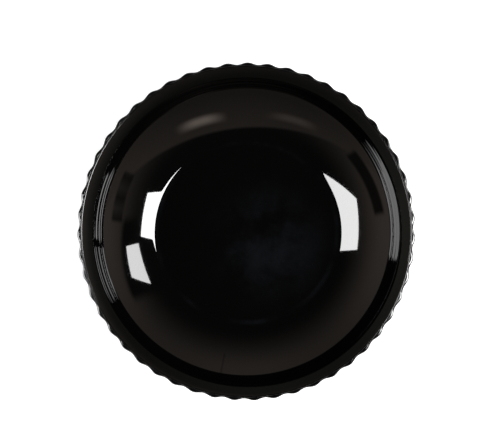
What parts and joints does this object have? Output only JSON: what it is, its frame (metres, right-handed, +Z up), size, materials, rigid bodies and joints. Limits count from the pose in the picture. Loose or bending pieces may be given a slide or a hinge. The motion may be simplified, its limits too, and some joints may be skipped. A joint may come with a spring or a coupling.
{
  "type": "fluted serving bowl",
  "caption": "Wide round serving bowl with a smooth stepped inside, a fluted outer shell with a scalloped rim, and a soft foot ring.",
  "frame": {"origin": "centre of the circle that the foot ring stands on, at the height of the table", "axes": "+Z up along the bowl's axis, out of its open mouth; +X and +Y lie in the table plane, and a flute's crest is 5.2 degrees from +X"},
  "size_m": [0.3049, 0.3048, 0.0673],
  "materials": {
    "inner_gloss": "polished",
    "shell_gloss": "polished",
    "foot_rubber": "matte"
  },
  "bodies": {
    "root": {"inner_bowl": "inner_gloss", "outer_shell": "shell_gloss", "foot_ring": "foot_rubber"}
  },
  "joints": []
}
